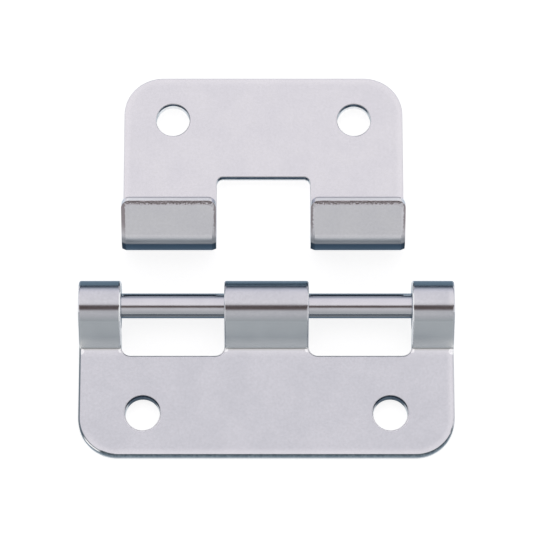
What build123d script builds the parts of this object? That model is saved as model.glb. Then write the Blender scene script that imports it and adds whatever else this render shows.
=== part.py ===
"""Detachable (lift-off) hinge for a case lid: two leaves bent from 2 mm sheet steel, and one pin.

The pin leaf has three knuckles rolled round a plain round pin, and the pin shows in the two windows
between them. The hook leaf has two J-shaped hooks, which pass through the windows behind the pin and
come up in front of it, and a notch that clears the middle knuckle.

The frame's origin is the middle of the pin, on its axis. X runs along the pin, +Z comes out of the
surface that the leaves are screwed to, and +Y points from the pin to the hook leaf. The hook leaf is
drawn unhooked: it lies PARTED along +Y and SIDEWAYS along -X from its place on the pin, and both
backs lie in one plane.
"""

import os
from math import acos, cos, degrees, radians, sin

from build123d import *

# Sheet and pin
SHEET = 2.0  # thickness of both leaves
PIN_D = 4.0  # diameter of the pin
PIN_INSET = 0.5  # how far each end of the pin lies inside its knuckle
PIN_CHAMFER = 0.3  # broken edge at the pin's ends
KNUCKLE_FIT = 0.02  # space all round the pin in a knuckle rolled on it
HOOK_FIT = 0.2  # space all round the pin in a hook, so that the leaf swings

# Widths along the pin
SIDE_KNUCKLE_W = 6.75
CENTRE_KNUCKLE_W = 13.5
HOOK_W = 15.15
CENTRE_PLAY = 0.85  # between a hook and the centre knuckle
SIDE_PLAY = 0.5  # between a hook and the knuckle at the side

# Distances from the axis of the pin or of the hook seats, in the plane of the leaves
PIN_LEAF_REACH = 24.2  # to the pin leaf's far edge
HOOK_LEAF_REACH = 26.0  # to the hook leaf's far edge
WINDOW_REACH = 7.6  # to the far side of a window
NOTCH_REACH = 8.85  # to the far side of the notch

# Screw holes
HOLE_D = 5.5
PIN_LEAF_EDGE = 7.0  # from a hole's centre to the pin leaf's far edge
HOOK_LEAF_EDGE = 7.25  # from a hole's centre to the hook leaf's far edge
PIN_LEAF_HOLES = 39.5  # between the two holes of the pin leaf
HOOK_LEAF_HOLES = 29.6  # between the two holes of the hook leaf

# Bends
STRAP_ANGLE = 55.0  # degrees between the plate and the straps that carry the knuckles
CRANK_R = 0.4  # inside radius where a strap leaves the plate
SEAM = 0.4  # gap between the rolled end of a knuckle and its strap
TAB_LEAN = 42.0  # degrees that a hook's front tab leans out from its plate
TAB_L = 5.8  # flat length of the tab, past the round of the hook

# Corners and edges
CORNER_R = 6.3  # far corners of both leaves
WINDOW_R = 1.5
NOTCH_R = 1.0
TAB_R = 1.3
ROLLOVER = 0.35  # radius of the edge drawn round by the punch, on the outside of the rolls
DIE_ROLL_W = 0.65  # slope drawn down by the punch on the outside of the hooks: across the face
DIE_ROLL_H = 0.27  # and down the edge
BURR_BREAK = 0.15  # edge broken by tumbling, on the inside of the rolls and hooks

# Where the hook leaf lies, from its place on the pin
PARTED = 13.8
SIDEWAYS = 0.5

# Derived sizes
pin_r = PIN_D / 2
knuckle_in_r = pin_r + KNUCKLE_FIT
knuckle_out_r = knuckle_in_r + SHEET
hook_in_r = pin_r + HOOK_FIT
hook_out_r = hook_in_r + SHEET
window_w = CENTRE_PLAY + HOOK_W + SIDE_PLAY
notch_w = CENTRE_KNUCKLE_W + 2 * CENTRE_PLAY
pin_leaf_w = 2 * SIDE_KNUCKLE_W + 2 * window_w + CENTRE_KNUCKLE_W
hook_leaf_w = 2 * HOOK_W + notch_w
window_x = (CENTRE_KNUCKLE_W + window_w) / 2
back_z = -hook_out_r  # both backs: a hook's sheet passes flat behind the pin
front_z = back_z + SHEET
cut_h = 5 * hook_out_r  # more than the height of anything that a cut goes through


def rim(part, radii, normals):
    """The edges round one side of a bent sheet, holes included, less those inside that side.

    The side is made of the bends about X with these radii and the flats with these normals.
    """
    skin = []
    for face in part.faces():
        if face.geom_type == GeomType.CYLINDER:
            along_x = face.axis_of_rotation.is_parallel(Axis.X)
            if along_x and any(abs(face.radius - r) < 1e-4 for r in radii):
                skin.append(face)
        elif face.geom_type == GeomType.PLANE:
            if any((face.normal_at() - n).length < 1e-4 for n in normals):
                skin.append(face)
    edges = [edge for face in skin for edge in face.edges()]
    return [edge for edge in edges if sum(edge.is_same(other) for other in edges) == 1]


# Pin leaf: the straps lean back from the plate and end as tangents to the knuckles
strap_up = Vector(0, cos(radians(STRAP_ANGLE)), sin(radians(STRAP_ANGLE)))
strap_out = Vector(0, -sin(radians(STRAP_ANGLE)), cos(radians(STRAP_ANGLE)))
roll_start = 90 + STRAP_ANGLE
roll_turn = 360 - degrees(acos((knuckle_in_r - SEAM) / knuckle_out_r))


def strap_line(radius, height):
    """Where a strap's face meets the plate's at this height, and where it meets the knuckle."""
    top = strap_out * radius
    foot = top + strap_up * ((height - top.Z) / strap_up.Z)
    return (foot.Y, foot.Z), (top.Y, top.Z)


with BuildPart() as pin_leaf:
    with BuildSketch(Plane.YZ):
        with BuildLine():
            front = FilletPolyline(
                (-PIN_LEAF_REACH, front_z),
                *strap_line(knuckle_out_r, front_z),
                radius=CRANK_R,
            )
            back = FilletPolyline(
                (-PIN_LEAF_REACH, back_z),
                *strap_line(knuckle_in_r, back_z),
                radius=CRANK_R + SHEET,
            )
            outer = CenterArc((0, 0), knuckle_out_r, roll_start, -roll_turn)
            inner = CenterArc((0, 0), knuckle_in_r, roll_start, -roll_turn)
            Line(front @ 0, back @ 0)
            Line(outer @ 1, inner @ 1)
        make_face()
    extrude(amount=pin_leaf_w / 2, both=True)
    # The two windows, open at the top before the knuckles were rolled
    with BuildSketch(Plane.XY.offset(back_z)) as windows:
        with Locations((-window_x, -WINDOW_REACH), (window_x, -WINDOW_REACH)):
            Rectangle(window_w, 2 * WINDOW_REACH, align=(Align.CENTER, Align.MIN))
        fillet(windows.vertices().group_by(Axis.Y)[0], radius=WINDOW_R)
    extrude(amount=cut_h, both=True, mode=Mode.SUBTRACT)
    with BuildSketch(Plane.XY.offset(back_z)):
        with Locations((0, PIN_LEAF_EDGE - PIN_LEAF_REACH)):
            with GridLocations(PIN_LEAF_HOLES, 1, 2, 1):
                Circle(HOLE_D / 2)
    extrude(amount=SHEET, mode=Mode.SUBTRACT)
    fillet(pin_leaf.edges().filter_by(Axis.Z).group_by(Axis.Y)[0], radius=CORNER_R)
    up = Vector(0, 0, 1)
    fillet(rim(pin_leaf.part, (knuckle_out_r, CRANK_R), (up, strap_out)), radius=ROLLOVER)
    fillet(rim(pin_leaf.part, (knuckle_in_r, CRANK_R + SHEET), (-up, -strap_out)), radius=BURR_BREAK)

pin_leaf.part.label = "pin_leaf"

# Pin
with BuildPart() as hinge_pin:
    with BuildSketch(Plane.YZ):
        Circle(pin_r)
    extrude(amount=pin_leaf_w / 2 - PIN_INSET, both=True)
    chamfer(hinge_pin.edges().filter_by(GeomType.CIRCLE), length=PIN_CHAMFER)

hinge_pin.part.label = "hinge_pin"

# Hook leaf: drawn about the axis of its hook seats
seat = Vector(-SIDEWAYS, PARTED, 0)
seat_side = Plane(origin=seat, x_dir=(0, 1, 0), z_dir=(1, 0, 0))
seat_plan = Plane(origin=seat + Vector(0, 0, back_z))
tab_up = Vector(0, cos(radians(TAB_LEAN)), sin(radians(TAB_LEAN)))
tab_out = Vector(0, -sin(radians(TAB_LEAN)), cos(radians(TAB_LEAN)))
hook_turn = 180 - TAB_LEAN

with BuildPart() as hook_leaf:
    with BuildSketch(seat_side):
        with BuildLine():
            inside = CenterArc((0, 0), hook_in_r, -90, -hook_turn)
            outside = CenterArc((0, 0), hook_out_r, -90, -hook_turn)
            plate_front = Line((HOOK_LEAF_REACH, front_z), inside @ 0)
            plate_back = Line((HOOK_LEAF_REACH, back_z), outside @ 0)
            Line(plate_front @ 0, plate_back @ 0)
            tab_in_line = Line(inside @ 1, inside @ 1 + inside % 1 * TAB_L)
            tab_out_line = Line(outside @ 1, outside @ 1 + outside % 1 * TAB_L)
            Line(tab_in_line @ 1, tab_out_line @ 1)
        make_face()
    extrude(amount=hook_leaf_w / 2, both=True)
    # The notch that parts the two hooks
    with BuildSketch(seat_plan) as notch:
        with Locations((0, NOTCH_REACH)):
            Rectangle(notch_w, 3 * NOTCH_REACH, align=(Align.CENTER, Align.MAX))
        fillet(notch.vertices().group_by(Axis.Y)[-1], radius=NOTCH_R)
    extrude(amount=cut_h, both=True, mode=Mode.SUBTRACT)
    with BuildSketch(seat_plan):
        with Locations((0, HOOK_LEAF_REACH - HOOK_LEAF_EDGE)):
            with GridLocations(HOOK_LEAF_HOLES, 1, 2, 1):
                Circle(HOLE_D / 2)
    extrude(amount=SHEET, mode=Mode.SUBTRACT)
    fillet(hook_leaf.edges().filter_by(Axis.Z).group_by(Axis.Y)[-1], radius=CORNER_R)
    tab_ends = hook_leaf.faces().filter_by(Plane(origin=(0, 0, 0), z_dir=tab_up))
    fillet(tab_ends.edges().filter_by(Axis((0, 0, 0), tab_out)), radius=TAB_R)
    # The die roll: chamfering the end of one tab carries on round the whole outline of the outside
    tab_front = hook_leaf.faces().filter_by(Plane(origin=(0, 0, 0), z_dir=tab_out)).sort_by(Axis.Z)[-1]
    tab_edge = tab_front.edges().filter_by(Axis.X).sort_by(Axis.Z)[-1]
    chamfer(tab_edge, length=DIE_ROLL_W, length2=DIE_ROLL_H, reference=tab_front)
    fillet(rim(hook_leaf.part, (hook_in_r,), (up, -tab_out)), radius=BURR_BREAK)

hook_leaf.part.label = "hook_leaf"

os.makedirs("parts", exist_ok=True)
export_step(pin_leaf.part, "parts/pin_leaf.step")
export_step(hinge_pin.part, "parts/hinge_pin.step")
export_step(hook_leaf.part, "parts/hook_leaf.step")
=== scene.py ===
"""Looks, light and camera for the detachable hinge: bright zinc-plated sheet and pin on a pale floor.

Lengths are in metres, in the frame of the CAD model: X along the pin, +Y from the pin leaf to the
hook leaf, +Z out of the surface that the leaves are screwed to. Each zone of colour is a mask worked
out from places and directions in the space of its own leaf, so it stays on the metal at every pose.
Many of these zones are painted light: painted shade, painted highlights and painted reflections.
"""

import math

import bpy
from mathutils import Matrix, Vector

MM = 0.001

# Sizes of the CAD model that the materials follow
FRONT_Z = -2.2 * MM  # front face of both plates
BACK_Z = -4.2 * MM  # back face of both plates, and the floor
CORNER_R = 6.3 * MM  # far corners of both leaves
KNUCKLE_R = 4.02 * MM
PIN_LEAF_HALF = 30.0 * MM
PIN_LEAF_REACH = 24.2 * MM
PIN_LEAF_HOLE_X = 19.75 * MM
PIN_LEAF_HOLE_Y = -17.2 * MM
SIDE_STRAP_X = 23.25 * MM  # inner sides of the side straps and their knuckles
MIDDLE_STRAP_X = 6.75 * MM  # sides of the middle strap and its knuckle
CREASE_Y = -6.45 * MM  # where the straps leave the front of the pin leaf's plate
HOOK_R = 4.2 * MM
SEAT_Y = 13.8 * MM  # axis of the hook seats
SIDEWAYS = 0.5 * MM  # how far the hook leaf lies towards -X
HOOK_LEAF_HALF = 22.75 * MM
HOOK_LEAF_REACH = 26.0 * MM
HOOK_LEAF_HOLE_X = 14.8 * MM
HOOK_LEAF_HOLE_Y = 32.55 * MM
NOTCH_HALF = 7.6 * MM
TAB_LEAN = math.radians(42.0)
TAB_UP = Vector((0.0, math.cos(TAB_LEAN), math.sin(TAB_LEAN)))  # from a hook's round to its tab's end
TAB_OUT = Vector((0.0, -math.sin(TAB_LEAN), math.cos(TAB_LEAN)))  # out of a tab's front

# Zones of the materials. A pair is a fade: its mask is 0 at the first value and 1 at the second.
HOLE_ZONE = 5.0 * MM  # round the middle of a screw hole
TAB_ENDS_Z = (3.6 * MM, 4.0 * MM)  # up to the slopes at the ends of the tabs
STRAP_FOOT_Z = (FRONT_Z - 0.4 * MM, FRONT_Z - 0.1 * MM)  # up to the foot of the straps
BELOW_FRONT_Z = (FRONT_Z + 0.05 * MM, FRONT_Z - 0.01 * MM)  # down over the rims of the plates
LEFT_TO_RIGHT = (-2.0 * MM, 2.0 * MM)
MOST_NOISE = (0.3, 0.7)  # most values of a noise lie between these
# Painted highlights where the sides of the straps meet the plate: distance from the middle, from the
# crease towards the plate, and radius
STRAP_GLINTS = (
    (PIN_LEAF_HALF - 0.28 * MM, 0.48 * MM, 0.66 * MM),
    (SIDE_STRAP_X + 0.05 * MM, 0.32 * MM, 0.52 * MM),
    (MIDDLE_STRAP_X - 0.25 * MM, 0.22 * MM, 0.46 * MM),
)

# Plating of the flats, with its duller clouds, and the tint of the metal seen at a flat angle
HOOK_ZINC = (0.735, 0.722, 0.750, 1.0)
HOOK_ZINC_CLOUD = (0.712, 0.700, 0.733, 1.0)
# The pin leaf's plating is painted darker than the hook leaf's: painted shade on the same plating
PIN_ZINC_PAINTED_SHADE = (0.630, 0.628, 0.665, 1.0)
PIN_ZINC_CLOUD_PAINTED_SHADE = (0.600, 0.600, 0.638, 1.0)
ZINC_EDGE_TINT = (0.62, 0.70, 0.78, 1.0)

# Plating of the bends: painted shade on the straps, painted light at their foot, painted reflections
STRAP_PAINTED_SHADE = (0.335, 0.360, 0.380, 1.0)
STRAP_FOOT_PAINTED_LIGHT = (0.60, 0.60, 0.60, 1.0)
KNUCKLE_PAINTED_REFLECTION = (0.10, 0.145, 0.19, 1.0)
HOOK_PAINTED_REFLECTION_MID = (0.47, 0.49, 0.52, 1.0)
HOOK_PAINTED_REFLECTION_DARK = (0.045, 0.075, 0.115, 1.0)

# Edges: painted highlights, painted brown reflection, and sheared and torn edges with painted shade and
# light
WHITE = (1.0, 1.0, 1.0, 1.0)
PAINTED_BRIGHT = (0.97, 0.97, 0.97, 1.0)
PAINTED_HIGHLIGHT = (0.92, 0.90, 0.92, 1.0)
BROWN_PAINTED_REFLECTION = (0.26, 0.215, 0.225, 1.0)
CUT_AND_SHADE_DARK = (0.11, 0.145, 0.175, 1.0)
CUT_AND_SHADE_LIGHT = (0.21, 0.25, 0.28, 1.0)
CUT_PAINTED_LIGHT = (0.50, 0.52, 0.54, 1.0)
HOLE_WALL_SHADE_DARK = (0.020, 0.032, 0.055, 1.0)
HOLE_WALL_SHADE_LIGHT = (0.060, 0.080, 0.105, 1.0)
FLANK_PAINTED_LIGHT = (0.62, 0.635, 0.65, 1.0)
FLANK_PAINTED_HIGHLIGHT = (0.76, 0.765, 0.77, 1.0)
TAB_END_PAINTED_HIGHLIGHT = (1.0, 0.98, 0.99, 1.0)
TORN_AND_SHADE = (0.58, 0.57, 0.60, 1.0)

# Pin: its front, with clouds, and painted reflection and shade on the sides that face away, down and
# towards the floor
PIN_ROD = (0.69, 0.68, 0.72, 1.0)
PIN_ROD_CLOUD = (0.66, 0.65, 0.69, 1.0)
ROD_AWAY_PAINTED_REFLECTION = (0.21, 0.255, 0.30, 1.0)
ROD_UNDER_PAINTED_REFLECTION = (0.27, 0.285, 0.30, 1.0)
ROD_LOW_PAINTED_SHADE = (0.06, 0.085, 0.12, 1.0)

# Roughness of the plating between its clouds, and what duller zones add to it
GLOSS = (0.13, 0.17)
ROD_GLOSS = (0.10, 0.16)
CUT_ROUGH = 0.22
KNUCKLE_BACK_ROUGH = 0.06
STRAP_ROUGH = 0.06
RIM_ROUGH = 0.25
FAR_RIM_ROUGH = 0.30
HOOK_ROUGH = 0.22
DIE_ROLL_ROUGH = 0.40
TAB_END_ROUGH = 0.40

# Depth of the relief
STREAK_DEPTH = 0.0011 * MM
GRAIN_DEPTH = 0.0010 * MM
SHEAR_DEPTH = 0.02 * MM
DIE_ROLL_DEPTH = 0.06 * MM
DRAW_DEPTH = 0.0006 * MM
ROD_DEPTH = 0.006 * MM

# Floor: half its width, what it gives back as light, and what is seen of it, which glows up to white
FLOOR_HALF = 3.0
FLOOR_LIT = (0.85, 0.85, 0.85, 1.0)
FLOOR_SEEN = (0.40, 0.40, 0.40, 1.0)
FLOOR_GLOW = 0.80

# The studio, as the angle of each direction from straight up, towards +Y: degrees, then colour.
# A broad white tent hangs over the hinge, the camera and its stand make the narrow dark line in it,
# a grey wall stands behind the camera, and the room on the other side is dark.
STUDIO = (
    (-180, (0.30, 0.31, 0.33)),
    (-100, (0.50, 0.51, 0.53)),
    (-90, (0.98, 0.99, 1.00)),
    (-80, (0.80, 0.81, 0.82)),
    (-65, (0.675, 0.685, 0.695)),
    (-46, (0.66, 0.67, 0.68)),
    (-39, (0.63, 0.63, 0.64)),
    (-34.5, (0.34, 0.32, 0.32)),
    (-30.5, (0.15, 0.125, 0.12)),
    (-18, (0.14, 0.115, 0.11)),
    (-14.5, (0.34, 0.32, 0.32)),
    (-11.5, (0.84, 0.83, 0.84)),
    (-3, (1.00, 0.985, 1.00)),
    (8, (1.00, 0.985, 1.00)),
    (14, (0.97, 0.955, 0.985)),
    (30, (0.97, 0.955, 0.985)),
    (52, (0.93, 0.92, 0.97)),
    (62, (0.78, 0.79, 0.87)),
    (70, (0.52, 0.55, 0.62)),
    (76, (0.20, 0.23, 0.28)),
    (82, (0.06, 0.09, 0.13)),
    (180, (0.06, 0.09, 0.13)),
)
ROOM_END = (0.93, 0.935, 0.95, 1.0)  # the two ends of the room, beyond the ends of the pin

# Camera: it looks down on the leaves, tilted from their normal towards -Y
CAMERA_TILT = math.radians(17.94)
CAMERA_DISTANCE = 560.0 * MM
PIXELS_PER_MM = 6.2213
TARGET = Vector((0.0, 6.63 * MM, 0.0))
IMAGE_WIDTH = 533
SENSOR = 36.0
CLIP = (0.01, 20.0)


class Graph:
    """Short forms for the nodes of one material or of the world."""

    def __init__(self, tree):
        self.tree = tree
        self.tree.nodes.clear()

    def node(self, kind, **settings):
        made = self.tree.nodes.new(kind)
        for name, value in settings.items():
            setattr(made, name, value)
        return made

    def feed(self, socket, value):
        if isinstance(value, bpy.types.NodeSocket):
            self.tree.links.new(value, socket)
        elif value is not None:
            socket.default_value = value

    def math(self, operation, a, b=None, clamp=False):
        made = self.node("ShaderNodeMath", operation=operation, use_clamp=clamp)
        for socket, value in zip(made.inputs, (a, b)):
            self.feed(socket, value)
        return made.outputs[0]

    def chain(self, operation, values):
        result = values[0]
        for value in values[1:]:
            result = self.math(operation, result, value)
        return result

    def product(self, *values):
        """Where all of these masks hold, weakened by the numbers among them."""
        return self.chain("MULTIPLY", values)

    def largest(self, *values):
        """Where any of these masks holds."""
        return self.chain("MAXIMUM", values)

    def total(self, *values):
        return self.chain("ADD", values)

    def less(self, a, b):
        return self.math("SUBTRACT", a, b)

    def absolute(self, value):
        return self.math("ABSOLUTE", value)

    def hypot(self, a, b):
        return self.math("SQRT", self.total(self.product(a, a), self.product(b, b)))

    def step(self, value, low, high):
        """0 below low, 1 above high and smooth between; falls where low is above high."""
        made = self.node("ShaderNodeMapRange", interpolation_type="SMOOTHSTEP")
        rising = low < high
        self.feed(made.inputs["Value"], value)
        self.feed(made.inputs["From Min"], min(low, high))
        self.feed(made.inputs["From Max"], max(low, high))
        self.feed(made.inputs["To Min"], 0.0 if rising else 1.0)
        self.feed(made.inputs["To Max"], 1.0 if rising else 0.0)
        return made.outputs["Result"]

    def window(self, value, low, high):
        """1 between two fades, each a pair of the places where it is 0 and where it is 1."""
        return self.product(self.step(value, *low), self.step(value, *high))

    def span(self, value, to_low, to_high, low=0.0, high=1.0):
        """From to_low, at low and below, evenly to to_high, at high and above."""
        made = self.node("ShaderNodeMapRange")
        self.feed(made.inputs["Value"], value)
        self.feed(made.inputs["From Min"], low)
        self.feed(made.inputs["From Max"], high)
        self.feed(made.inputs["To Min"], to_low)
        self.feed(made.inputs["To Max"], to_high)
        return made.outputs["Result"]

    def mix(self, factor, a, b, blend="MIX"):
        made = self.node("ShaderNodeMix", data_type="RGBA", blend_type=blend)
        self.feed(made.inputs["Factor"], factor)
        self.feed(made.inputs["A"], a)
        self.feed(made.inputs["B"], b)
        return made.outputs["Result"]

    def paint(self, colour, new, mask, strength=None):
        """A colour, covered with a new one where the mask holds."""
        return self.mix(mask if strength is None else self.product(mask, strength), colour, new)

    def split(self, vector):
        made = self.node("ShaderNodeSeparateXYZ")
        self.feed(made.inputs[0], vector)
        return made.outputs

    def noise(self, point, per_mm, detail=2.0, roughness=0.5, stretch=(1.0, 1.0, 1.0)):
        """Noise with about this many cells to the millimetre; a small stretch draws it out that way."""
        scaled = self.node("ShaderNodeVectorMath", operation="MULTIPLY")
        self.feed(scaled.inputs[0], point)
        self.feed(scaled.inputs[1], [per_mm / MM * s for s in stretch])
        made = self.node("ShaderNodeTexNoise", noise_dimensions="3D")
        self.feed(made.inputs["Vector"], scaled.outputs[0])
        self.feed(made.inputs["Scale"], 1.0)
        self.feed(made.inputs["Detail"], detail)
        self.feed(made.inputs["Roughness"], roughness)
        return made.outputs["Fac"]

    def bump(self, height, depth, normal=None):
        made = self.node("ShaderNodeBump")
        self.feed(made.inputs["Strength"], 1.0)
        self.feed(made.inputs["Distance"], depth)
        self.feed(made.inputs["Height"], height)
        self.feed(made.inputs["Normal"], normal)
        return made.outputs["Normal"]


def new_material(name):
    material = bpy.data.materials.new(name)
    material.use_nodes = True
    return material, Graph(material.node_tree)


def zinc_output(g, colour, roughness, normal):
    shader = g.node("ShaderNodeBsdfPrincipled")
    g.feed(shader.inputs["Base Color"], colour)
    g.feed(shader.inputs["Metallic"], 1.0)
    g.feed(shader.inputs["Roughness"], roughness)
    g.feed(shader.inputs["Normal"], normal)
    g.feed(shader.inputs["Specular Tint"], ZINC_EDGE_TINT)
    out = g.node("ShaderNodeOutputMaterial")
    g.tree.links.new(shader.outputs[0], out.inputs["Surface"])


class Skin:
    """Places, directions and noises that the plating of a bent leaf follows, in the leaf's own space."""

    def __init__(self, g, bend_y, bend_r):
        self.g = g
        coords = g.node("ShaderNodeTexCoord")
        point = coords.outputs["Object"]
        self.x, self.y, self.z = g.split(point)
        self.nx, self.ny, self.nz = g.split(coords.outputs["Normal"])
        self.side = g.absolute(self.nx)
        self.cloud = g.noise(point, 0.22, detail=3.0)
        self.grain = g.noise(point, 2.6, roughness=0.6)
        self.streak = g.noise(point, 2.2, stretch=(0.12, 1.0, 1.0))
        self.ragged = g.noise(point, 2.8, detail=3.0, roughness=0.65)
        self.shear = g.noise(point, 3.2, detail=3.0, roughness=0.65, stretch=(1.0, 1.0, 0.18))

        # Degrees round the roll or the hook, from straight up towards +Y, and whether it is the outside
        off_y = g.less(self.y, bend_y)
        self.turn = g.math("DEGREES", g.math("ARCTAN2", off_y, self.z))
        radius = g.hypot(off_y, self.z)
        inner_fade = (bend_r - 0.50 * MM, bend_r - 0.35 * MM)
        outer_fade = (bend_r + 0.30 * MM, bend_r + 0.15 * MM)
        self.on_bend = g.window(radius, inner_fade, outer_fade)

        # Flats that face the front, sheared sides that face along the pin, and the lighter streaks on them
        self.plate = g.step(self.nz, 0.90, 0.985)
        self.flank = g.step(self.side, 0.75, 0.92)
        self.lit = g.step(self.shear, 0.38, 0.66)

    def plated(self, bright, cloudy, speckle):
        """The colour of the flats: clouds some millimetres wide, and the fine grain of rolled sheet."""
        g = self.g
        colour = g.mix(g.step(self.cloud, 0.35, 0.68), bright, cloudy)
        speck = g.span(self.grain, 1.0 - speckle, 1.0 + speckle, *MOST_NOISE)
        tone = g.node("ShaderNodeCombineColor")
        for socket in tone.inputs[:3]:
            g.feed(socket, speck)
        return g.mix(1.0, colour, tone.outputs[0], blend="MULTIPLY")

    def inside_outline(self, half_x, middle_x, far, reach):
        """How far a point lies inside the sides, the rounded corners and the far edge of its plate."""
        g = self.g
        across = g.largest(g.less(g.absolute(g.less(self.x, middle_x)), half_x - CORNER_R), 0.0)
        along = g.largest(g.less(far, reach - CORNER_R), 0.0)
        return g.less(CORNER_R, g.hypot(across, along))

    def near(self, side_x, y, reach):
        """1 round the two places that lie this far to each side of the middle, at this y."""
        g = self.g
        across = g.less(g.absolute(self.x), side_x)
        along = g.less(self.y, y)
        return g.step(g.hypot(across, along), reach, 0.6 * reach)

    # A painted highlight along the plate's outline
    def highlit_outline(self, inside):
        return self.g.product(self.g.step(inside, 1.4 * MM, 0.5 * MM), self.plate)

    def sheared_plate(self, upright, fade):
        """The sheared edges of the plate that face along Y at least in part, from the front's rim down."""
        g = self.g
        below_rim = g.step(self.z, FRONT_Z + 0.05 * MM, FRONT_Z - fade)
        return g.product(upright, below_rim, g.step(g.absolute(self.ny), 0.08, 0.30))

    def sheared_colour(self, dark, light):
        return self.g.mix(self.lit, dark, light)

    def gloss(self):
        return self.g.span(self.cloud, *GLOSS, *MOST_NOISE)

    def relief(self):
        """Rolling streaks along the pin, and grain."""
        normal = self.g.bump(self.streak, STREAK_DEPTH)
        return self.g.bump(self.grain, GRAIN_DEPTH, normal)

    def sheared_relief(self, cut, normal):
        return self.g.bump(self.g.product(self.shear, cut), SHEAR_DEPTH, normal)


def pin_leaf_flats(skin, inside):
    """The plate, with a painted highlight along its outline, except at the left side, and along the
    crease.
    """
    g = skin.g
    # Plating painted darker than the hook leaf's, as painted shade
    colour = skin.plated(PIN_ZINC_PAINTED_SHADE, PIN_ZINC_CLOUD_PAINTED_SHADE, 0.040)
    off_left = g.step(skin.x, 0.7 * MM - PIN_LEAF_HALF, 2.2 * MM - PIN_LEAF_HALF)
    rim_highlight = g.product(skin.highlit_outline(inside), off_left)
    by_crease = g.step(skin.y, CREASE_Y - 1.7 * MM, CREASE_Y + 0.1 * MM)
    on_plate = g.step(skin.z, FRONT_Z + 0.10 * MM, FRONT_Z + 0.03 * MM)
    crease = g.product(by_crease, on_plate, skin.plate)
    # Painted highlights along the outline and the crease
    colour = g.paint(colour, PAINTED_HIGHLIGHT, rim_highlight, 0.30)
    return g.paint(colour, PAINTED_HIGHLIGHT, crease, 0.32)


def strap_zone(skin):
    """The straps' fronts, and the lower part of the knuckles that runs into them."""
    g = skin.g
    leaning = g.product(g.step(skin.y, -2.29 * MM, -3.38 * MM), g.step(skin.ny, 0.35, 0.1))
    past_crease = g.step(skin.y, CREASE_Y - 0.5 * MM, CREASE_Y - 0.1 * MM)
    above_plate = g.step(skin.z, *STRAP_FOOT_Z)
    return g.product(leaning, past_crease, above_plate)


def pin_leaf_rolls(skin, colour, strap, back):
    """Painted shade on the straps, a painted brown reflection round the knuckles, and painted dark
    reflection on their backs.
    """
    g = skin.g
    low = g.step(skin.z, -0.1 * MM, FRONT_Z)
    # Painted shade on the straps, lighter near the plate as painted light
    colour = g.paint(colour, g.mix(low, STRAP_PAINTED_SHADE, STRAP_FOOT_PAINTED_LIGHT), strap)
    # A painted brown reflection round the knuckles
    line = g.product(g.window(skin.turn, (-29.0, -26.0), (-13.5, -17.5)), skin.on_bend)
    line = g.product(line, g.span(skin.streak, 0.6, 1.0, 0.35, 0.65))
    colour = g.paint(colour, BROWN_PAINTED_REFLECTION, line, 0.32)
    # Painted dark reflection on the knuckles' backs
    return g.paint(colour, KNUCKLE_PAINTED_REFLECTION, back)


def strap_sides(skin, colour):
    """Rounded rims of the knuckles and straps with a painted highlight, brightest where they meet the
    plate.
    """
    g = skin.g
    above_plate = g.step(skin.z, FRONT_Z + 0.2 * MM, FRONT_Z + 0.7 * MM)
    rim = g.product(g.step(skin.side, 0.12, 0.45), above_plate, g.step(skin.nz, 0.15, 0.45))
    # Painted highlight on the rims
    colour = g.paint(colour, PAINTED_HIGHLIGHT, rim, 0.22)
    # Painted white highlights where the sides of the straps meet the plate
    ends = 0.0
    for side_x, from_crease, reach in STRAP_GLINTS:
        ends = g.largest(ends, skin.near(side_x, CREASE_Y - from_crease, reach))
    ends = g.product(ends, g.span(skin.ragged, 0.45, 0.95, 0.35, 0.6))
    ends = g.product(ends, g.step(skin.z, *STRAP_FOOT_Z))
    return g.paint(colour, WHITE, ends)


def pin_leaf_upright(skin, hole):
    """1 on the sheared edges, and over the rounded rim of those that face -Y."""
    g = skin.g
    steep = g.total(skin.nz, g.product(hole, 0.08))
    towards = g.product(g.step(steep, 0.998, 0.972), g.step(skin.ny, -0.01, -0.09))
    towards = g.product(towards, g.step(skin.y, -7.0 * MM, -8.0 * MM))
    return g.largest(g.step(g.absolute(skin.nz), 0.88, 0.55), towards)


def pin_leaf_edges(skin, colour, hole, in_plate):
    """Sheared edges with painted shade: dark in the holes, lighter round the outline; painted light at its
    foot and sides.
    """
    g = skin.g
    # Sheared edges: duller metal, painted dark as shade
    outline = skin.sheared_colour(CUT_AND_SHADE_DARK, CUT_AND_SHADE_LIGHT)
    # Painted shade on the hole walls
    edge = g.mix(hole, outline, skin.sheared_colour(HOLE_WALL_SHADE_DARK, HOLE_WALL_SHADE_LIGHT))
    # Painted light on the edges that face +Y
    edge = g.paint(edge, CUT_PAINTED_LIGHT, g.step(skin.ny, 0.05, 0.30))
    # Painted light at the foot of the outline's edges
    foot = g.step(skin.z, FRONT_Z - 0.85 * MM, FRONT_Z - 1.6 * MM)
    edge = g.paint(edge, FLANK_PAINTED_HIGHLIGHT, g.product(foot, g.less(1.0, hole)))
    colour = g.paint(colour, edge, in_plate)
    # Sheared sides that face along the pin, painted light
    return g.paint(colour, skin.sheared_colour(FLANK_PAINTED_LIGHT, FLANK_PAINTED_HIGHLIGHT), skin.flank)


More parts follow.
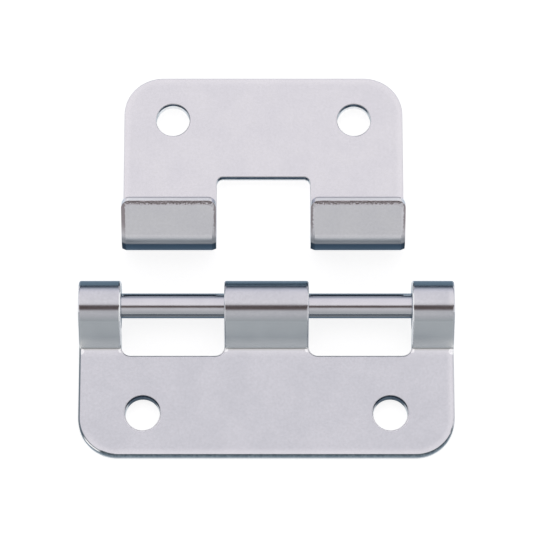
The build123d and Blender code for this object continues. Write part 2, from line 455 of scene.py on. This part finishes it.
def side_knuckle_rims(skin, colour):
    """The crease's own round in painted shade, and the side knuckles' rims: painted shade outside, painted
    highlight inside.
    """
    g = skin.g
    fold = g.product(g.step(skin.ny, -0.25, -0.45), g.step(skin.y, -7.0 * MM, -6.9 * MM))
    fold_low = (FRONT_Z - 0.01 * MM, FRONT_Z + 0.02 * MM)
    fold_high = (FRONT_Z + 0.27 * MM, FRONT_Z + 0.18 * MM)
    fold = g.product(fold, g.window(skin.z, fold_low, fold_high))
    # Painted shade on the crease's round
    colour = g.paint(colour, CUT_AND_SHADE_LIGHT, fold, 0.35)

    from_middle = g.absolute(skin.x)
    above_plate = g.step(skin.z, FRONT_Z + 0.3 * MM, FRONT_Z + 0.6 * MM)
    raised = g.product(g.step(skin.side, 0.15, 0.50), above_plate)
    outside = g.step(from_middle, PIN_LEAF_HALF - 0.50 * MM, PIN_LEAF_HALF - 0.35 * MM)
    below_crest = g.step(skin.turn, -30.0, -34.0)
    # Painted shade on the outer rims below the crest
    colour = g.paint(colour, CUT_AND_SHADE_DARK, g.product(raised, outside, below_crest), 0.50)
    inner_low = (SIDE_STRAP_X - 0.25 * MM, SIDE_STRAP_X - 0.15 * MM)
    inner_high = (SIDE_STRAP_X + 0.55 * MM, SIDE_STRAP_X + 0.37 * MM)
    inner = g.product(raised, g.window(from_middle, inner_low, inner_high))
    # Painted highlight on the inner rims
    return g.paint(colour, PAINTED_BRIGHT, g.product(inner, g.step(skin.nz, 0.02, 0.10)))


def left_rim(skin, colour, inside, rolled):
    """The left side of the plate and its rolled rim: painted shade, with a painted highlight in the
    rounded corner.

    The painted shade takes in the ends of the left strap and knuckle below the plate's front. Returns the
    colour, and the mask of the glint.
    """
    g = skin.g
    at_left = g.step(skin.x, 4.0 * MM - PIN_LEAF_HALF, 3.0 * MM - PIN_LEAF_HALF)
    left = g.product(g.step(skin.nx, -0.04, -0.14), at_left)
    # Degrees round the corner, from the side at 0 to the far edge at 90
    corner_turn = g.math("DEGREES", g.math("ARCTAN2", g.product(skin.ny, -1.0), skin.side))
    steep_shade = g.product(g.step(skin.nz, 0.995, 0.95), g.step(corner_turn, 40.0, 28.0))
    slight_shade = g.window(skin.nz, (0.86, 0.92), (0.995, 0.97))
    slight_shade = g.product(slight_shade, g.step(corner_turn, 58.0, 48.0))
    below_front = g.step(skin.z, *BELOW_FRONT_Z)
    left_shade = g.product(g.largest(steep_shade, slight_shade), left, below_front)
    colour = g.paint(colour, CUT_AND_SHADE_DARK, left_shade, 0.85)
    # Painted highlight in the rounded corner
    glint = g.product(g.window(corner_turn, (27.0, 39.0), (72.0, 60.0)), left)
    glint = g.product(glint, rolled, g.step(skin.nz, 0.93, 0.87), g.step(inside, 0.6 * MM, 0.4 * MM))
    return g.paint(colour, WHITE, glint), glint


def pin_leaf_zinc():
    """Plated sheet with knuckles: painted shade on the straps, painted dark reflection round the knuckles'
    backs.
    """
    material, g = new_material("pin_leaf_zinc")
    skin = Skin(g, 0.0, KNUCKLE_R)
    inside = skin.inside_outline(PIN_LEAF_HALF, 0.0, g.product(skin.y, -1.0), PIN_LEAF_REACH)
    hole = skin.near(PIN_LEAF_HOLE_X, PIN_LEAF_HOLE_Y, HOLE_ZONE)
    strap = strap_zone(skin)
    # Where the painted dark reflection lies round the back of the knuckles
    back = g.product(g.window(skin.turn, (30.5, 37.0), (112.0, 78.0)), skin.on_bend)
    in_plate = skin.sheared_plate(pin_leaf_upright(skin, hole), 0.01 * MM)
    cut = g.largest(in_plate, skin.flank)
    rolled = g.window(skin.nz, (0.20, 0.40), (0.995, 0.96))
    rolled = g.product(rolled, g.step(skin.z, FRONT_Z + 0.2 * MM, FRONT_Z + 0.05 * MM))
    # Painted highlight on the rolled rims that face +Y
    away = g.product(g.largest(hole, g.step(skin.side, 0.20, 0.50)), g.step(skin.ny, 0.02, 0.15), rolled)

    colour = pin_leaf_flats(skin, inside)
    colour = pin_leaf_rolls(skin, colour, strap, back)
    colour = strap_sides(skin, colour)
    colour = pin_leaf_edges(skin, colour, hole, in_plate)
    colour = side_knuckle_rims(skin, colour)
    colour, glint = left_rim(skin, colour, inside, rolled)
    colour = g.paint(colour, PAINTED_HIGHLIGHT, away)

    roughness = g.total(
        skin.gloss(),
        g.product(cut, CUT_ROUGH),
        g.product(back, KNUCKLE_BACK_ROUGH),
        g.product(g.less(rolled, glint), RIM_ROUGH),
        g.product(away, FAR_RIM_ROUGH),
        g.product(strap, STRAP_ROUGH),
    )
    zinc_output(g, colour, roughness, skin.sheared_relief(cut, skin.relief()))
    return material


def die_roll_end(skin, far):
    """The slope that the punch drew at the end of each tab, and a strip of painted brown reflection next
    to the edge.
    """
    g = skin.g
    slope = g.window(skin.ny, (-0.43, -0.39), (-0.24, -0.28))
    slope = g.product(slope, g.step(skin.z, *TAB_ENDS_Z))
    along = g.total(g.product(far, TAB_UP.y), g.product(skin.z, TAB_UP.z))
    along = g.total(along, g.span(skin.ragged, -0.25 * MM, 0.25 * MM, *MOST_NOISE))
    return slope, g.product(slope, g.step(along, 5.28 * MM, 5.42 * MM))


def die_roll_sides(skin):
    """The slopes down the sides of the hooks, and a painted brown reflection on them, wider at the far
    left.
    """
    g = skin.g
    across = g.total(skin.x, SIDEWAYS)
    from_middle = g.absolute(across)
    from_side = g.math("MINIMUM", g.less(HOOK_LEAF_HALF, from_middle), g.less(from_middle, NOTCH_HALF))
    from_side = g.total(from_side, g.span(skin.ragged, 0.14 * MM, -0.14 * MM, *MOST_NOISE))
    from_side = g.less(from_side, g.product(g.step(across, -21.0 * MM, -22.0 * MM), 0.30 * MM))
    flanks = g.window(skin.side, (0.22, 0.30), (0.55, 0.45))
    reflected_brown = g.product(flanks, g.step(from_side, 0.42 * MM, 0.26 * MM))
    flanks = g.span(reflected_brown, g.product(flanks, 0.55), flanks)
    on_tab = g.product(g.step(skin.z, 2.4 * MM, 4.6 * MM), g.step(skin.nz, 0.5, 0.6))
    return flanks, g.product(reflected_brown, on_tab)


def hook_leaf_edges(skin, colour, inside, hole, in_plate):
    """Sheared edges: painted shade in the holes and the notch down to a painted bright foot, and on the
    holes' rims.
    """
    g = skin.g
    outline = skin.sheared_colour(CUT_AND_SHADE_DARK, CUT_AND_SHADE_LIGHT)
    # In the holes the painted dark shade band reaches lower on the right than on the left
    in_hole = g.total(skin.z, g.span(skin.x, 0.0, 0.30 * MM, *LEFT_TO_RIGHT))
    in_hole = g.step(in_hole, FRONT_Z - 0.95 * MM, FRONT_Z - 0.75 * MM)
    in_notch = g.step(skin.z, FRONT_Z - 1.35 * MM, FRONT_Z - 1.15 * MM)
    dark_band = g.span(hole, in_notch, in_hole)
    # Painted shade on the hole walls, above a painted bright foot
    wall = g.mix(dark_band, PAINTED_BRIGHT, skin.sheared_colour(HOLE_WALL_SHADE_DARK, HOLE_WALL_SHADE_LIGHT))
    edge = g.mix(g.step(inside, 0.5 * MM, 1.0 * MM), outline, wall)
    colour = g.paint(colour, edge, in_plate)
    # Sheared sides that face along the pin, painted light
    colour = g.paint(colour, skin.sheared_colour(FLANK_PAINTED_LIGHT, FLANK_PAINTED_HIGHLIGHT), skin.flank)

    # Painted shade on the holes' rims, on the side nearest the middle of the leaf
    middle_side = g.step(g.product(skin.nx, skin.x), 3.0 * MM, 8.0 * MM)
    height = g.window(skin.z, (FRONT_Z - 0.3 * MM, FRONT_Z - 0.2 * MM), BELOW_FRONT_Z)
    rim = g.product(g.step(skin.nz, 0.985, 0.90), height, hole, middle_side)
    return g.paint(colour, HOLE_WALL_SHADE_DARK, g.product(rim, g.span(skin.x, 0.75, 0.45, *LEFT_TO_RIGHT)))


def tab_ends(skin, colour, far, tab_end):
    """The sheared ends of the tabs with a painted highlight, darker next to the inside: torn zone and
    painted shade.
    """
    g = skin.g
    # Painted highlight on the tabs' ends
    colour = g.paint(colour, TAB_END_PAINTED_HIGHLIGHT, tab_end)
    depth = g.total(g.product(far, -TAB_OUT.y), g.product(skin.z, -TAB_OUT.z))
    # Torn zone next to the inside, with painted shade
    return g.paint(colour, TORN_AND_SHADE, g.product(g.step(depth, -2.95 * MM, -2.65 * MM), tab_end))


def hook_leaf_zinc():
    """Plated sheet with hooks: painted dark reflection round their bottoms, painted brown reflection on
    the punch's slopes.
    """
    material, g = new_material("hook_leaf_zinc")
    skin = Skin(g, SEAT_Y, HOOK_R)
    far = g.less(skin.y, SEAT_Y)
    inside = skin.inside_outline(HOOK_LEAF_HALF, -SIDEWAYS, far, HOOK_LEAF_REACH)
    hole = skin.near(HOOK_LEAF_HOLE_X, HOOK_LEAF_HOLE_Y, HOLE_ZONE)
    bottom = g.product(g.window(skin.turn, (-146.0, -112.0), (-43.0, -57.0)), skin.on_bend)
    slope, brown_end = die_roll_end(skin, far)
    flanks, brown_sides = die_roll_sides(skin)
    in_plate = skin.sheared_plate(g.step(g.absolute(skin.nz), 0.55, 0.30), 0.08 * MM)
    cut = g.largest(in_plate, skin.flank)
    tab_end = g.product(g.step(skin.ny, 0.60, 0.70), g.step(skin.nz, 0.40, 0.60))
    tab_end = g.product(tab_end, g.step(skin.z, *TAB_ENDS_Z))

    colour = skin.plated(HOOK_ZINC, HOOK_ZINC_CLOUD, 0.026)
    # Painted highlight along the outline
    colour = g.paint(colour, PAINTED_HIGHLIGHT, skin.highlit_outline(inside), 0.22)
    # Painted reflection round the bottom of the hooks: mid grey, then dark
    colour = g.paint(colour, HOOK_PAINTED_REFLECTION_MID, bottom)
    colour = g.paint(colour, HOOK_PAINTED_REFLECTION_DARK, g.product(bottom, g.step(skin.turn, -63.0, -70.0)))
    # Painted brown reflection on the tabs' ends and the hooks' sides
    colour = g.paint(colour, BROWN_PAINTED_REFLECTION, brown_end, 0.45)
    colour = g.paint(colour, BROWN_PAINTED_REFLECTION, brown_sides, 0.75)
    colour = hook_leaf_edges(skin, colour, inside, hole, in_plate)
    colour = tab_ends(skin, colour, far, tab_end)

    roughness = g.total(
        skin.gloss(),
        g.product(cut, CUT_ROUGH),
        g.product(bottom, HOOK_ROUGH),
        g.product(g.largest(flanks, g.less(slope, brown_end)), DIE_ROLL_ROUGH),
        g.product(tab_end, TAB_END_ROUGH),
    )
    normal = g.bump(g.product(skin.ragged, slope), DIE_ROLL_DEPTH, skin.relief())
    zinc_output(g, colour, roughness, skin.sheared_relief(cut, normal))
    return material


def pin_zinc():
    """Plated drawn rod: smooth, with fine draw lines along X, and painted darker round the sides than in
    front.
    """
    material, g = new_material("hinge_pin_zinc")
    coords = g.node("ShaderNodeTexCoord")
    point = coords.outputs["Object"]
    nx, ny, nz = g.split(coords.outputs["Normal"])
    draw = g.noise(point, 3.0, stretch=(0.05, 1.0, 1.0))
    cloud = g.noise(point, 0.35)
    ragged = g.noise(point, 1.2, detail=3.0, roughness=0.6, stretch=(0.5, 1.0, 1.0))
    down = g.product(ny, -1.0)
    colour = g.mix(g.step(cloud, 0.35, 0.68), PIN_ROD, PIN_ROD_CLOUD)
    # Painted reflection and shade on the sides that face away, down and towards the floor
    colour = g.paint(colour, ROD_UNDER_PAINTED_REFLECTION, g.step(down, 0.55, 0.90))
    colour = g.paint(colour, ROD_AWAY_PAINTED_REFLECTION, g.step(ny, 0.15, 0.75))
    colour = g.paint(colour, ROD_LOW_PAINTED_SHADE, g.largest(g.step(down, 0.94, 1.0), g.step(nz, 0.0, -0.2)))
    colour = g.paint(colour, CUT_AND_SHADE_LIGHT, g.step(g.absolute(nx), 0.4, 0.8))
    normal = g.bump(ragged, ROD_DEPTH, g.bump(draw, DRAW_DEPTH))
    zinc_output(g, colour, g.span(draw, *ROD_GLOSS, *MOST_NOISE), normal)
    return material


def floor_white():
    """Pale floor. It is white where the light is open, and keeps the object's soft shadow."""
    material, g = new_material("floor_white")
    path = g.node("ShaderNodeLightPath")
    seen = g.math("ADD", path.outputs["Is Camera Ray"], path.outputs["Is Glossy Ray"], clamp=True)
    seen = g.math("ADD", seen, path.outputs["Is Transmission Ray"], clamp=True)
    lit = g.node("ShaderNodeBsdfDiffuse")
    g.feed(lit.inputs["Color"], FLOOR_LIT)
    soft = g.node("ShaderNodeBsdfDiffuse")
    g.feed(soft.inputs["Color"], FLOOR_SEEN)
    glow = g.node("ShaderNodeEmission")
    g.feed(glow.inputs["Color"], WHITE)
    g.feed(glow.inputs["Strength"], FLOOR_GLOW)
    both = g.node("ShaderNodeAddShader")
    g.tree.links.new(soft.outputs[0], both.inputs[0])
    g.tree.links.new(glow.outputs[0], both.inputs[1])
    pick = g.node("ShaderNodeMixShader")
    g.feed(pick.inputs[0], seen)
    g.tree.links.new(lit.outputs[0], pick.inputs[1])
    g.tree.links.new(both.outputs[0], pick.inputs[2])
    out = g.node("ShaderNodeOutputMaterial")
    g.tree.links.new(pick.outputs[0], out.inputs["Surface"])
    return material


def studio_world():
    world = bpy.data.worlds.new("studio")
    bpy.context.scene.world = world
    world.use_nodes = True
    g = Graph(world.node_tree)
    coords = g.node("ShaderNodeTexCoord")
    x, y, z = g.split(coords.outputs["Generated"])
    angle = g.math("DEGREES", g.math("ARCTAN2", y, z))
    ramp = g.node("ShaderNodeValToRGB")
    g.feed(ramp.inputs[0], g.span(angle, 0.0, 1.0, -180.0, 180.0))
    stops = ramp.color_ramp.elements
    while len(stops) < len(STUDIO):
        stops.new(0.5)
    for stop, (degrees, colour) in zip(stops, STUDIO):
        stop.position = (degrees + 180.0) / 360.0
        stop.color = (*colour, 1.0)
    room = g.paint(ramp.outputs["Color"], ROOM_END, g.step(g.absolute(x), 0.70, 0.95))
    light = g.node("ShaderNodeBackground")
    g.feed(light.inputs["Color"], room)
    g.feed(light.inputs["Strength"], 1.0)
    out = g.node("ShaderNodeOutputWorld")
    g.tree.links.new(light.outputs[0], out.inputs["Surface"])


def make_floor():
    mesh = bpy.data.meshes.new("floor")
    signs = ((-1, -1), (1, -1), (1, 1), (-1, 1))
    corners = [(FLOOR_HALF * x, FLOOR_HALF * y, BACK_Z) for x, y in signs]
    mesh.from_pydata(corners, [], [(0, 1, 2, 3)])
    floor = bpy.data.objects.new("floor", mesh)
    bpy.context.scene.collection.objects.link(floor)
    mesh.materials.append(floor_white())


def make_camera():
    data = bpy.data.cameras.new("camera")
    data.sensor_width = SENSOR
    data.lens = PIXELS_PER_MM / MM * CAMERA_DISTANCE * SENSOR / IMAGE_WIDTH
    data.clip_start, data.clip_end = CLIP
    camera = bpy.data.objects.new("camera", data)
    bpy.context.scene.collection.objects.link(camera)
    back = Vector((0.0, -math.sin(CAMERA_TILT), math.cos(CAMERA_TILT)))
    right = Vector((1.0, 0.0, 0.0))
    turn = Matrix((right, back.cross(right), back)).transposed().to_4x4()
    camera.matrix_world = Matrix.Translation(TARGET + back * CAMERA_DISTANCE) @ turn
    bpy.context.scene.camera = camera


def dress(node, material):
    node.data.materials.clear()
    node.data.materials.append(material)


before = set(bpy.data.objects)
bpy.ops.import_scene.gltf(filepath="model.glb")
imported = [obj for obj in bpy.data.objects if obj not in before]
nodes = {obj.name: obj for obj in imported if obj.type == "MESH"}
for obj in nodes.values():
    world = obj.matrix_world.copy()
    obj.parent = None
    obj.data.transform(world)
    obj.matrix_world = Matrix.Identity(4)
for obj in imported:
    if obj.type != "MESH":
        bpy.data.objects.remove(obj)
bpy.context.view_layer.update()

make_camera()
make_floor()
studio_world()

dress(nodes["pin_leaf"], pin_leaf_zinc())
dress(nodes["hook_leaf"], hook_leaf_zinc())
dress(nodes["hinge_pin"], pin_zinc())

bpy.context.scene.view_settings.view_transform = "Standard"
